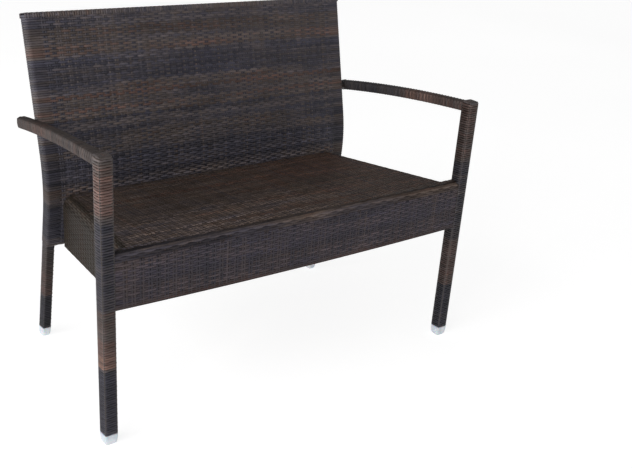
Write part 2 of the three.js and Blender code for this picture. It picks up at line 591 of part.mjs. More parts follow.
function seatFrame(envelope) {
  const RAIL_INSET_FRONT = 10;                           // behind the face, below the crest
  const FRONT_RAIL_Y = SEAT_FACE_Y + RAIL_INSET_FRONT;
  const FRONT_RAIL_TOP = SEAT_FRONT_Z - RAIL_INSET_FRONT;
  const length = 2 * SEAT_INNER_HALF;
  const frontRail = tubeSection(
    SEAT_TUBE, SEAT_TUBE, FRONT_RAIL_Y + SEAT_TUBE / 2, FRONT_RAIL_TOP - SEAT_TUBE / 2);
  addPiece('seat_rail_front', alongX(extrude(frontRail, length), length), coatedTube());

  const BEARER_DROP = SEAT_SKIN + 1;                     // top of the bearers below the seat's top
  const REAR_RAIL_DROP = 10;
  const REAR_RAIL_INSET = 17;                            // keeps its ends inside the side rolls
  const REAR_RAIL_BACK = SEAT_REAR_Y - 11;               // clear of the leaning back
  const rearRailFront = REAR_RAIL_BACK - SEAT_TUBE;
  const rearRailTop = seatTop(REAR_RAIL_BACK) - REAR_RAIL_DROP;
  const rearLength = 2 * (seatHalf(REAR_RAIL_BACK) - REAR_RAIL_INSET);
  const rearRail = tubeSection(
    SEAT_TUBE, SEAT_TUBE, REAR_RAIL_BACK - SEAT_TUBE / 2, rearRailTop - SEAT_TUBE / 2);
  addPiece('seat_rail_rear', alongX(extrude(rearRail, rearLength), rearLength), coatedTube());

  const bearerStart = FRONT_RAIL_Y + SEAT_TUBE + GAP;
  const bearerEnd = rearRailFront - GAP;
  const RAIL_DROP = 14;                                  // rail top below the seat's top
  const RAIL_INSET = 12;                                 // rail's outer face inside the side line
  const sideRail = tubeSection(SEAT_TUBE, SEAT_TUBE,
    -RAIL_INSET - SEAT_TUBE / 2, REFERENCE_HEIGHT - RAIL_DROP - SEAT_TUBE / 2);
  const HEM_LIFT = APRON_SKIN + GAP;
  const sideHem = tubeSection(HEM_TUBE, HEM_TUBE,
    -SEAT_SKIN - 1 - HEM_TUBE / 2, HEM_LIFT + HEM_TUBE / 2);
  for (const [side, sign] of SIDES) {
    const rail = alongSide(sideRail, sign, bearerStart, bearerEnd, envelope);
    addPiece(`seat_rail_${side}`, rail, coatedTube());
    const hem = alongSide(sideHem, sign, bearerStart, PAST_BACK, envelope);
    addPiece(`apron_rail_${side}`, hem, coatedTube());
  }
  const frontHem = tubeSection(HEM_TUBE, HEM_TUBE,
    SEAT_FACE_Y + APRON_SKIN + GAP + HEM_TUBE / 2, APRON_FRONT_Z + HEM_LIFT + HEM_TUBE / 2);
  addPiece('apron_rail_front', alongX(extrude(frontHem, length), length), coatedTube());

  const bearerSection = tubeSection(SEAT_TUBE, SEAT_TUBE);
  BEARER_PLACES.forEach((x, i) => {
    const bearer = extrude(bearerSection, bearerEnd - bearerStart);
    mapVertices(bearer, (point) => {
      const y = bearerStart + point.z;
      const height = point.y;
      point.x = x - point.x;
      point.y = y;
      point.z = seatTop(y) - BEARER_DROP - SEAT_TUBE / 2 + height;
    });
    addPiece(`seat_bearer_${i + 1}`, bearer, coatedTube());
  });
}

// ---------------------------------------------------------------- assembly

frontLegs();
feet();
rearLegs();
wovenBack();
backRails();
arms();
const envelope = backEnvelope();
wovenSeat(envelope);
aprons(envelope);
seatFrame(envelope);

bench.updateMatrixWorld(true);
const box = new THREE.Box3().setFromObject(bench, true);
bench.position.y = -(box.min.y + box.max.y) / 2;

export default bench;
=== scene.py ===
"""Two-seat garden bench of woven synthetic wicker: every strand, foot and finish of the visible model.

The wicker is made strand by strand. A woven surface is a function of two arc lengths in
millimetres: u runs along its rows and v along its stakes. Rows pass over and under the stakes;
legs and arms are wound with one long strand each. The tubes of the frame keep their CAD meshes.
"""

import math

import bpy
import numpy as np
from mathutils import Matrix, Vector


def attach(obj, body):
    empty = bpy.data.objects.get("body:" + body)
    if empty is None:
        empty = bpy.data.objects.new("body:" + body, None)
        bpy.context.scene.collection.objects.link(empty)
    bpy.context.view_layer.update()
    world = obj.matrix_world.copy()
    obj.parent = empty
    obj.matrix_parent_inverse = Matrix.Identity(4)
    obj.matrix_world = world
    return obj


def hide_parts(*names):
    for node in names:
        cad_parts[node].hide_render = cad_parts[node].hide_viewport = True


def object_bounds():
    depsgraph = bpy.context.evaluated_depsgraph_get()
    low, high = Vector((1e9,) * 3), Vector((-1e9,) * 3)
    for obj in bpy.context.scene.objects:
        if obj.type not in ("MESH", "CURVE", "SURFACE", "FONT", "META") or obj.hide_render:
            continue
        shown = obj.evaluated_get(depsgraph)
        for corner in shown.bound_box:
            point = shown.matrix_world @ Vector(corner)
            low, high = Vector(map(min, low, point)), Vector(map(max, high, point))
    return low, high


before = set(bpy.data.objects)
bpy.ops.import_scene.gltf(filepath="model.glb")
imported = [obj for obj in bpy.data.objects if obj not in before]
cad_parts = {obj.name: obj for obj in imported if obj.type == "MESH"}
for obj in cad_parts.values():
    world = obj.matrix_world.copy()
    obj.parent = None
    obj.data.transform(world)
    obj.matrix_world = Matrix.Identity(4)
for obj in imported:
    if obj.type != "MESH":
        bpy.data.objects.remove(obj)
cad_low, cad_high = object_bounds()
rng = np.random.default_rng(7)

# ---------------------------------------------------------------- dimensions, in millimetres

MM = 0.001
FRONT_Y = cad_low.y              # y = 0 below is at the front faces of the front legs

FRONT_HALF = 512                 # to the outer face of a front leg
LEG = 34
LEG_AXIS_X = FRONT_HALF - LEG / 2
LEG_TOP = 664
CAP_ROUND = 5.5                  # rounding of the woven cap on a front leg
FOOT = 27
REAR_HALF = 442                  # to the outer face of the back
UPRIGHT_X, UPRIGHT_Y = 20, 25    # tube of a rear leg and upright
UPRIGHT_AXIS_X = 429.3
REAR_WOUND = 5.4                 # what the winding adds to the tube of a rear leg
RAKE, LEAN = math.radians(11.3), math.radians(13.2)
BEND_Y, BEND_Z, BEND_TANGENT = 443.2, 442, 81
BACK_FRONT, BACK_REAR = 19.3, 15.5          # faces of the woven back, from the tube's axis
BACK_BOTTOM, BACK_TOP = 285, 821
ARM_SIDE = 26.5
ARM_TOP, ARM_RADIUS = 661.5, 4050
ARM_START_ANGLE, ARM_TOE_IN = math.radians(3.8), math.radians(3.0)
ARM_LENGTH = 485
ARM_END = 7                      # the rounded rear end, behind the winding
SEAT_FRONT_Z, SEAT_REAR_Z = 454, 416
SEAT_REAR_Y = 433
SEAT_FRONT_HALF, SEAT_REAR_HALF = 464, 406
SEAT_FACE_Y = 2
SEAT_ROLL, SIDE_ROLL = 18, 28
APRON_RETURN = 20                # width of an apron's turned-in lower edge
APRON_ROUND = 5
APRON_FRONT_Z, APRON_SAG = 326, 6
SIDE_APRON_FRONT_Z, SIDE_APRON_REAR_Z = 333, 281
SEAT_INNER_HALF = FRONT_HALF - LEG - 0.3
SIDE_START_Y = LEG + 0.3
ROW_REACH = SEAT_INNER_HALF + 2.5           # rows between the front legs end in their windings

# Strands
ROW_PITCH = 5.3                  # height of one row
STAKE_PITCH = 16.7               # distance between the stakes of the back
STAKES_PER_HALF = 24             # stakes of the back on each side of the middle one
APRON_STAKE_PITCH = 19.1         # also of the seat's stakes
STRAND_WIDTH = 6.9               # over the pitch, so that the edges of rows overlap
STRAND_THICK = 2.0
STAKE_THICK = 1.8
STAKE_LIFT = 0.35                # stakes lie a little outside the middle of the weave
WAVE = 1.25                      # how far a row swings in and out
PEAK = 1.7                       # how sharply a row bends over a stake: 1 is a plain sine
STEPS_PER_STAKE = 4              # points of a row from one stake to the next
PLACE_SPREAD = 0.12              # rows lie this far, on average, from their exact places
BAND_WIDTH = 6.3                 # strands over the upper edge of the back

# Windings
WOUND_PITCH = 5.8                # one turn of the strands round the legs
ARM_PITCH = 5.2                  # and round the arms
WOUND_THICK = 3.2
WOUND_WAVE = 0.4                 # how far a winding swings in and out
WOUND_LOOPS = 4.5                # swings in one turn, so that alternate turns swing opposite ways
WOUND_STEPS = 30                 # points of a winding in one turn
WOUND_SQUARENESS = 4.5           # exponent of the superellipse of a wound bar
FOOT_SQUARENESS = 5              # and of a foot

SIDES = (("left", -1), ("right", 1))
TO_RIGHT, TO_REAR, UPWARD = np.eye(3)


# ---------------------------------------------------------------- small mathematics

def unit(vectors):
    return vectors / np.maximum(np.linalg.norm(vectors, axis=-1, keepdims=True), 1e-9)


def smooth_step(low, high, value):
    t = np.clip((value - low) / (high - low), 0, 1)
    return t * t * (3 - 2 * t)


def placed(points):
    """Millimetres of this script as metres of the frame."""
    return points * MM + np.array([0, FRONT_Y, 0])


def stacked(*columns):
    return np.stack(np.broadcast_arrays(*columns), axis=-1).astype(float)


def arc_lengths(points):
    steps = np.linalg.norm(np.diff(points, axis=0), axis=1)
    return np.concatenate([[0], np.cumsum(steps)])


def arc(centre, radius, start, end, count=7):
    """Points of an arc in a plane, angles in degrees."""
    angles = np.radians(np.linspace(start, end, count))
    return [(centre[0] + radius * math.cos(a), centre[1] + radius * math.sin(a)) for a in angles]


class Line:
    """A polyline in a plane that is read by arc length and runs straight on past its ends."""

    RUN_ON = 50

    def __init__(self, points):
        points = np.array(points, float)
        keep = np.concatenate([[True], np.linalg.norm(np.diff(points, axis=0), axis=1) > 1e-6])
        points = points[keep]
        first = points[0] + self.RUN_ON * unit(points[0] - points[1])
        last = points[-1] + self.RUN_ON * unit(points[-1] - points[-2])
        self.points = np.vstack([first, points, last])
        self.lengths = arc_lengths(self.points) - self.RUN_ON
        self.length = self.lengths[-2]

    def at(self, s):
        return (np.interp(s, self.lengths, self.points[:, 0]),
                np.interp(s, self.lengths, self.points[:, 1]))

    def nearest(self, axis, value):
        """Arc length at which one coordinate, rising along the line, reaches a value."""
        return float(np.interp(value, self.points[:, axis], self.lengths))


def uneven(s, knot):
    """Random wander along a length, with a new value every knot millimetres."""
    places = np.arange(np.min(s), np.max(s) + 2 * knot, knot)
    return np.interp(s, places, rng.normal(0, 1, len(places)))


def frame_on(surface, u, v):
    """Points of a surface, its two directions and its outer normal."""
    step = 0.4
    point = surface(u, v)
    along_u = unit(surface(u + step, v) - surface(u - step, v))
    along_v = unit(surface(u, v + step) - surface(u, v - step))
    return point, along_u, along_v, unit(np.cross(along_u, along_v))


def quads_between(index):
    """Quads between successive rings, from the point numbers of each ring."""
    here, ahead = index[:-1], index[1:]
    quads = np.stack([here, np.roll(here, -1, 1), np.roll(ahead, -1, 1), ahead], axis=-1)
    return quads.reshape(-1, 4)


# ---------------------------------------------------------------- strands

class Strands:
    """Collects strands of flat diamond section, shaded smooth, and makes one mesh of them."""

    def __init__(self):
        self.corners, self.faces, self.uv = [], [], []
        self.tone, self.light = [], []
        self.count = 0

    def add(self, path, direction, normal, width, thick, tone, light=None):
        """One strand along a path. tone runs from 0, blue-black, to 1, orange-brown."""
        light = rng.normal(1, 0.1) if light is None else light
        path = np.asarray(path)
        across = unit(np.cross(normal, direction))
        width = np.broadcast_to(width, len(path))[:, None]
        ring = np.stack([
            path + across * width / 2,
            path + normal * thick / 2,
            path - across * width / 2,
            path - normal * thick / 2,
        ], axis=1)
        n = len(path)
        index = self.count + np.arange(n * 4).reshape(n, 4)
        caps = np.array([index[0][::-1], index[-1]])
        self.faces.append(np.vstack([quads_between(index), caps]))
        self.corners.append(ring.reshape(-1, 3))
        self.tone.append(np.repeat(np.broadcast_to(tone, n), 4))
        self.light.append(np.repeat(np.broadcast_to(light, n), 4))
        along = arc_lengths(path) + rng.uniform(0, 4000)
        self.uv.append(stacked(np.repeat(along, 4), np.tile([1.0, 0.5, 0.0, 0.5], n)))
        self.count += n * 4

    def mesh(self, name, nodes, slot, material):
        points = placed(np.vstack(self.corners))
        faces = np.vstack(self.faces)
        mesh = smooth_mesh(name, points, faces.tolist())
        for key, values in (("tone", self.tone), ("light", self.light)):
            attribute = mesh.attributes.new(key, "FLOAT", "POINT")
            attribute.data.foreach_set("value", np.concatenate(values).astype(np.float32))
        strand = mesh.attributes.new("strand", "FLOAT_VECTOR", "POINT")
        uv = np.vstack(self.uv)
        strand.data.foreach_set("vector", stacked(uv[:, 0], uv[:, 1], 0).astype(np.float32).ravel())
        add_piece(name, mesh, nodes, material)


def smooth_mesh(name, points, faces):
    mesh = bpy.data.meshes.new(name)
    mesh.from_pydata(points.tolist(), [], faces)
    mesh.polygons.foreach_set("use_smooth", np.ones(len(faces), bool))
    mesh.update()
    return mesh


def add_piece(name, mesh, nodes, material, body="root"):
    """A piece that stands for CAD nodes, or with no nodes goes beside a piece that does."""
    piece = bpy.data.objects.new(name, mesh)
    bpy.context.scene.collection.objects.link(piece)
    mesh.materials.append(material)
    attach(piece, body)
    if nodes:
        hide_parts(*nodes)


class Tones:
    """Colour and lightness of the rows of one woven surface.

    The colour has bands across the surface and drifts along each band. The lightness changes in
    patches: neighbouring rows share one patch, and every row has a little of its own. slope adds
    a steady change of colour along the rows, per millimetre. BROWNEST and DARKEST limit the
    colour and the lightness.
    """

    DRIFT_LENGTH = 170
    PATCH_LENGTH = 55
    MOTTLE_LENGTH = 25
    ROWS_PER_BAND = 4
    ROWS_PER_PATCH = 2
    KNOTS = 60
    ROW_SPREAD = 0.05
    BROWNEST = 0.8
    DARKEST = 0.62

    def __init__(self, bands, drift=0.16, mottle=0.15, slope=0.0):
        self.places, self.values = zip(*bands)
        self.drift, self.mottle, self.slope = drift, mottle, slope
        self.wander, self.patches = {}, {}

    def shared(self, store, group, spread, position):
        if group not in store:
            store[group] = rng.normal(0, spread, self.KNOTS)
        return np.interp(position, np.arange(self.KNOTS), store[group])

    def row(self, index, place, u):
        group = index // self.ROWS_PER_BAND
        position = np.abs(u) / self.DRIFT_LENGTH + group % 3
        wander = self.shared(self.wander, group, self.drift, position)
        band = np.interp(place, self.places, self.values) + rng.normal(0, self.ROW_SPREAD)
        return np.minimum(band + wander + self.slope * u, self.BROWNEST)

    def light(self, index, u):
        group = index // self.ROWS_PER_PATCH
        position = (u + 1000) / self.PATCH_LENGTH + (group % 5) / 5
        patch = self.shared(self.patches, group, self.mottle, position)
        own = rng.normal(1, self.mottle)
        fine = 0.5 * self.mottle * uneven(u, self.MOTTLE_LENGTH)
        return np.maximum(own + patch + fine, self.DARKEST)


def row_places(length):
    """Middles of whole rows that fill a length of the stakes."""
    count = round(length / ROW_PITCH)
    return (np.arange(count) + 0.5) * (length / count)


def woven(surface, spans, tones, stake_u, stake_span, wave=WAVE, stake_width=5.5, flat=None,
          place=None, stake_tone=0.32, stake_light=1.0, glow=None):
    """Rows and stakes of a plain weave of single rows on double stakes.

    spans: (v, first u, last u) of every row. stake_u: places of the stakes.
    stake_span(u): first and last v of the stake at u. flat(u, v): 1 where the rows lie flat.
    place(v): where in the tones' bands the row at v is. glow(u, v): factor on the lightness of the
    rows, which the surfaces use for painted light and shade.
    """
    rows, stakes = Strands(), Strands()
    stake_u = np.asarray(stake_u, float)
    pitch = stake_u[1] - stake_u[0]
    depth = wave + STRAND_THICK / 2
    for k, (v, first, last) in enumerate(spans):
        marks = np.arange(math.floor(first / pitch * STEPS_PER_STAKE),
                          math.ceil(last / pitch * STEPS_PER_STAKE) + 1)
        u = marks * pitch / STEPS_PER_STAKE
        u = np.concatenate([[first], u[(u > first + 1) & (u < last - 1)], [last]])
        points, direction, _, normal = frame_on(surface, u, np.full_like(u, v))
        swing = np.cos(math.pi * ((u - stake_u[0]) / pitch + k))
        swing = wave * rng.normal(1, 0.06) * np.sign(swing) * np.abs(swing) ** PEAK
        level = -depth
        if flat is not None:
            calm = flat(u, v)
            swing = swing * (1 - calm)
            level = level * (1 - calm) - STRAND_THICK / 2 * calm
        points = points + normal * (level + swing)[:, None]
        tone = tones.row(k, place(v) if place else v, u)
        light = tones.light(k, u)
        if glow is not None:
            light = light * glow(u, v)
        rows.add(points, direction, normal, STRAND_WIDTH, STRAND_THICK, tone, light)
    for i, u in enumerate(stake_u):
        first, last = stake_span(u)
        v = np.arange(first, last, ROW_PITCH * 1.5)
        v = np.append(v[v < last - 1], last)
        middle = u + rng.normal(0, 0.35)
        for offset in (-stake_width / 2, stake_width / 2):
            points, _, direction, normal = frame_on(surface, np.full_like(v, middle + offset), v)
            points = points - normal * (depth - STAKE_LIFT)
            tone = stake_tone + rng.normal(0, 0.1) + 0.1 * np.sin(v / 90 + i)
            light = stake_light * rng.normal(1, 0.1)
            stakes.add(points, direction, normal, stake_width, STAKE_THICK, tone, light)
    return rows, stakes


# ---------------------------------------------------------------- the back

def lower_point(z):
    return BEND_Y + (BEND_Z - z) * math.tan(RAKE), z


def upper_point(z):
    return BEND_Y + (z - BEND_Z) * math.tan(LEAN), z


def upright_line(from_z, to_z):
    """Axis of an upright in the plane of y and z."""
    start = np.array(lower_point(BEND_Z - BEND_TANGENT * math.cos(RAKE)))
    corner = np.array([BEND_Y, BEND_Z])
    end = np.array(upper_point(BEND_Z + BEND_TANGENT * math.cos(LEAN)))
    t = np.linspace(0, 1, 41)[:, None]
    bend = (1 - t) ** 2 * start + 2 * t * (1 - t) * corner + t ** 2 * end
    return Line([lower_point(from_z), *bend, upper_point(to_z)])


def back_section():
    """Plan of the woven face, round the left upright, across the front and round the right one.

    The first coordinate is x, the second is the distance in front of the uprights' axes.
    """
    radius = 6
    inner = UPRIGHT_AXIS_X - UPRIGHT_X / 2 - 3
    points = [(-inner, 0), (-inner, -BACK_REAR + radius)]
    points += arc((-inner - radius, -BACK_REAR + radius), radius, 0, -90)
    points += arc((-REAR_HALF + radius, -BACK_REAR + radius), radius, 270, 180)
    points += arc((-REAR_HALF + radius, BACK_FRONT - radius), radius, 180, 90)
    points += [(-x, d) for x, d in reversed(points)]
    return Line(points)


def make_back(wicker):
    axis = upright_line(BACK_BOTTOM, BACK_TOP)
    section = back_section()
    middle = section.length / 2

    def height_at(v):
        return np.interp(v, axis.lengths, axis.points[:, 1])

    def surface(u, v):
        y, z = axis.at(v)
        y_ahead, z_ahead = axis.at(v + 1)
        y_behind, z_behind = axis.at(v - 1)
        tangent = unit(stacked(0, y_ahead - y_behind, z_ahead - z_behind))
        x, forward = section.at(u + middle)
        return stacked(x, y - forward * tangent[..., 2], z + forward * tangent[..., 1])

    def flat(u, v):
        return smooth_step(REAR_HALF - 34, REAR_HALF - 22, np.abs(u))

    def glow(u, v):
        """Painted shade low down beside the seat, near the edges of the back; pale along the joint
        with the seat.
        """
        z = height_at(v)
        joint = smooth_step(420, 423, z) * (1 - smooth_step(430, 433, z))
        # beside and low mark the painted shade near the edges of the back, below the arms
        beside = smooth_step(REAR_HALF - 60, REAR_HALF - 35, np.abs(u))
        low = 1 - smooth_step(480, 580, z)
        return (1 + 0.4 * joint * (1 - beside)) * (1 - 0.42 * beside * low)

    reach = middle - 10              # to the inner rear edges of the uprights
    spans = [(v + rng.normal(0, PLACE_SPREAD), -reach, reach) for v in row_places(axis.length)]
    tones = Tones([
        (285, 0.45), (300, 0.22), (395, 0.2), (420, 0.5), (437, 0.5), (447, 0.12), (494, 0.16),
        (503, 0.42), (544, 0.48), (552, 0.2), (580, 0.22), (586, 0.66), (604, 0.68), (610, 0.26),
        (626, 0.32), (632, 0.64), (655, 0.56), (664, 0.14), (722, 0.18), (728, 0.6), (748, 0.58),
        (754, 0.36), (777, 0.34), (783, 0.54), (790, 0.5), (797, 0.38), (830, 0.36),
    ], mottle=0.17)
    stake_u = np.arange(-STAKES_PER_HALF, STAKES_PER_HALF + 1) * STAKE_PITCH
    rows, stakes = woven(surface, spans, tones, stake_u, lambda u: (1, axis.length - 1),
                         flat=flat, place=height_at, stake_tone=0.24, stake_light=0.85, glow=glow)
    rows.mesh("back_rows", ["back_weave"], "back_wicker", wicker)
    stakes.mesh("back_stakes", [], "back_wicker", wicker)


def make_top_band(wicker):
    """Strands laid over the upper edge of the back, from the front face to the rear face."""
    count, steps, wave = 150, 17, 0.25
    half = REAR_HALF - 3
    top_y, top_z = upper_point(BACK_TOP)
    up = np.array([math.sin(LEAN), math.cos(LEAN)])
    forward = np.array([-math.cos(LEAN), math.sin(LEAN)])
    rise, radius, drop = 5.0, 4.0, 7.0
    profile = [(BACK_FRONT, -drop), (BACK_FRONT, rise - radius)]
    profile += arc((BACK_FRONT - radius, rise - radius), radius, 0, 90)
    profile += arc((-BACK_REAR + radius, rise - radius), radius, 90, 180)
    profile += [(-BACK_REAR, -drop)]
    line = Line(profile)

    def surface(u, v):
        ahead, above = line.at(v)
        y = top_y + ahead * forward[0] + above * up[0]
        z = top_z + ahead * forward[1] + above * up[1]
        return stacked(u, y, z)

    band = Strands()
    v = np.linspace(0, line.length, steps)
    for i, x in enumerate(np.linspace(-half, half, count)):
        points, _, direction, normal = frame_on(surface, np.full_like(v, x), v)
        swing = wave if i % 2 else -wave
        points = points + normal * (swing - STRAND_THICK / 2)
        tone = 0.36 + 0.12 * math.sin(x / 70) + rng.normal(0, 0.08)
        band.add(points, direction, normal, BAND_WIDTH, STRAND_THICK, tone)
    band.mesh("top_band_strands", ["back_top_band"], "back_wicker", wicker)


# ---------------------------------------------------------------- seat and aprons

SEAT_CREST_Y = SEAT_FACE_Y + SEAT_ROLL
SEAT_SLOPE = (SEAT_FRONT_Z - SEAT_REAR_Z) / (SEAT_REAR_Y - SEAT_CREST_Y)


def seat_top(y):
    return SEAT_FRONT_Z - SEAT_SLOPE * (y - SEAT_CREST_Y)


def seat_half(y):
    share = (y - SIDE_START_Y) / (SEAT_REAR_Y - SIDE_START_Y)
    return SEAT_FRONT_HALF + (SEAT_REAR_HALF - SEAT_FRONT_HALF) * share


def side_apron_bottom(y):
    share = (y - SIDE_START_Y) / (SEAT_REAR_Y - SIDE_START_Y)
    return SIDE_APRON_FRONT_Z + (SIDE_APRON_REAR_Z - SIDE_APRON_FRONT_Z) * share


def make_seat(wicker):
    centre = (SEAT_CREST_Y, SEAT_FRONT_Z - SEAT_ROLL)
    end_y = SEAT_REAR_Y + 3
    profile = [(SEAT_FACE_Y, centre[1] - 1)]
    profile += arc(centre, SEAT_ROLL, 180, 90 - math.degrees(math.atan(SEAT_SLOPE)), 12)
    profile += [(end_y, seat_top(end_y))]
    line = Line(profile)

    def surface(u, v):
        y, z = line.at(v)
        return stacked(u, y, z)

    def half_at(v):
        y = line.at(v)[0]
        if y < SIDE_START_Y + 1:
            return ROW_REACH
        return seat_half(y) - SIDE_ROLL + 4

    spans = [(v + rng.normal(0, PLACE_SPREAD), -half_at(v), half_at(v))
             for v in row_places(line.length)]
    tones = Tones([
        (0, 0.3), (10, 0.24), (22, 0.24), (28, 0.48), (75, 0.54), (110, 0.48), (150, 0.6), (190, 0.52),
        (230, 0.66), (290, 0.55), (330, 0.64), (420, 0.6),
    ], drift=0.12, mottle=0.24, slope=0.0005)

    def glow(u, v):
        """Painted highlight on the crest of the front edge, painted shade in the fold behind it, then
        painted light towards the left.
        """
        # crest: painted highlight on the roll, painted shade in the fold behind it
        crest = np.interp(v, [0, 10, 14, 18, 23, 29, 36], [1.2, 1.2, 1.55, 1.55, 0.7, 0.7, 1.0])
        # painted light, paler towards the left of the seat's front half
        lit_towards_left = np.interp(v, [29, 38, 110, 220], [0, 1, 0.8, 0]) * np.interp(u, [-250, 380], [1, 0])
        return crest * (1 + 1.7 * lit_towards_left)

    def flat(u, v):
        """Rows lie flatter where they turn over the front edge."""
        return np.interp(v, [8, 14, 22, 30], [0.45, 0.75, 0.75, 0]) * np.ones_like(u)

    reach = math.floor(SEAT_INNER_HALF / APRON_STAKE_PITCH)
    stake_u = np.arange(-reach, reach + 1) * APRON_STAKE_PITCH
    start_behind = line.nearest(0, SIDE_START_Y)

    def stake_span(u):
        """Stakes beside the tapered sides end early, and those beside the legs on the front."""
        last = line.length - 0.5
        while last > start_behind and half_at(last) < abs(u) + 3:
            last -= 3
        if abs(u) > half_at(start_behind + 2) - 3:
            last = start_behind - 1
        return 0, last

    rows, stakes = woven(surface, spans, tones, stake_u, stake_span, wave=0.7, stake_width=7.5,
                         flat=flat, stake_tone=0.42, stake_light=0.85, glow=glow)
    rows.mesh("seat_rows", ["seat_weave"], "seat_wicker", wicker)
    stakes.mesh("seat_stakes", [], "seat_wicker", wicker)


def make_front_apron(wicker):
    """The upright front face below the seat's roll, and its turned-in lower edge."""
    top = SEAT_FRONT_Z - SEAT_ROLL - 1
    height = top - APRON_FRONT_Z
    radius = APRON_ROUND
    profile = [(SEAT_FACE_Y + APRON_RETURN, 0)]
    profile += arc((SEAT_FACE_Y + radius, radius), radius, 270, 180)
    profile += [(SEAT_FACE_Y, height)]
    line = Line(profile)

    def surface(u, v):
        y, rise = line.at(v)
        sag = APRON_SAG * (1 - (u / SEAT_INNER_HALF) ** 2) * (1 - rise / height)
        return stacked(u, y, APRON_FRONT_Z + rise - sag)

    spans = [(v, -ROW_REACH, ROW_REACH) for v in row_places(line.length)]
    tones = Tones([
        (0, 0.56), (22, 0.56), (28, 0.48), (33, 0.28), (55, 0.26), (62, 0.4), (70, 0.22), (100, 0.25),
        (112, 0.36), (135, 0.32),
    ], drift=0.13, mottle=0.16)

    def glow(u, v):
        """Darker towards the lower edge."""
        return 0.88 + 0.18 * smooth_step(25, 125, v)

    def flat(u, v):
        """Rows lie flat round the lower edge."""
        return (1 - smooth_step(26, 34, v)) * np.ones_like(u)

    last = math.floor((SEAT_INNER_HALF - 3) / APRON_STAKE_PITCH)
    stake_u = np.arange(-last, last + 1) * APRON_STAKE_PITCH
    rows, stakes = woven(surface, spans, tones, stake_u, lambda u: (0, line.length), wave=0.5,
                         stake_width=6.5, flat=flat, stake_tone=0.24, stake_light=0.64, glow=glow)
    rows.mesh("front_apron_rows", ["front_apron_weave"], "apron_wicker", wicker)
    stakes.mesh("front_apron_stakes", [], "apron_wicker", wicker)


def make_side_apron(side, sign, wicker):
    """Side of the seat: its turned-in lower edge, its upright face and the roll up to the seat."""
    radius = APRON_ROUND
    reference = 120                  # height that the profile is drawn with
    profile = [(-APRON_RETURN, 0)]
    profile += arc((-radius, radius), radius, 270, 360)
    profile += arc((-SIDE_ROLL, reference - SIDE_ROLL), SIDE_ROLL, 0, 90, 10)
    line = Line(profile)
    start_y, end_y = SIDE_START_Y + 0.5, SEAT_REAR_Y + 3
    full = end_y - start_y - 0.5     # u runs backwards on the left, so that its face is outside

    def surface(u, v):
        y = start_y + (u if sign > 0 else full - u)
        outward, rise = line.at(v)
        bottom, top = side_apron_bottom(y), seat_top(y)
        share = np.clip((rise - radius) / (reference - SIDE_ROLL - radius), 0, 1)
        low = bottom + rise
        high = top - (reference - rise)
        return stacked(sign * (seat_half(y) + outward), y, low * (1 - share) + high * share)

    back = upright_line(200, BACK_TOP)

    half_way = 200

    def u_limits(v):
        """Rows start behind the front leg and end at the woven face of the back."""
        z = surface(half_way, v)[2]
        rear = np.interp(z, back.points[:, 1], back.points[:, 0]) - BACK_FRONT / math.cos(RAKE)
        length = min(rear, end_y) - start_y
        return (0, length) if sign > 0 else (full - length, full)

    spans = [(v, *u_limits(v)) for v in row_places(line.length)]
    tones = Tones([
        (0, 0.6), (24, 0.62), (32, 0.5), (60, 0.52), (90, 0.46), (120, 0.5), (150, 0.55),
    ], drift=0.08, mottle=0.14)

    def glow(u, v):
        """Painted highlight along the crest of the roll."""
        return 1 + 0.8 * smooth_step(122, 130, v) * (1 - smooth_step(138, 146, v))

    first, last = u_limits(APRON_RETURN + 2 * APRON_ROUND)
    stake_u = np.arange(0.5, full / APRON_STAKE_PITCH) * APRON_STAKE_PITCH
    stake_u = stake_u[(stake_u > first + 4) & (stake_u < last - 4)]
    # stake_light=1.2 paints light on the stakes, which sit in shade between the rows
    rows, stakes = woven(surface, spans, tones, stake_u, lambda u: (0, line.length - 1), wave=0.35,
                         stake_width=6.5, stake_tone=0.5, stake_light=1.2, glow=glow)
    rows.mesh(f"side_apron_rows_{side}", [f"side_apron_weave_{side}"], "apron_wicker", wicker)
    stakes.mesh(f"side_apron_stakes_{side}", [], "apron_wicker", wicker)


# ---------------------------------------------------------------- wound legs and arms

def soft_square(count, exponent):
    """Superellipse between -1 and 1, counter-clockwise: a square with bulging sides."""
    around = np.linspace(0, 2 * math.pi, count, endpoint=False)
    x, y = np.cos(around), np.sin(around)
    power = 2 / exponent
    return stacked(np.sign(x) * np.abs(x) ** power, np.sign(y) * np.abs(y) ** power)


def wound_section(width, depth):
    """Closed outline of a wound bar."""
    loop = soft_square(96, WOUND_SQUARENESS) * (width / 2, depth / 2)
    return np.vstack([loop, loop[:1]])


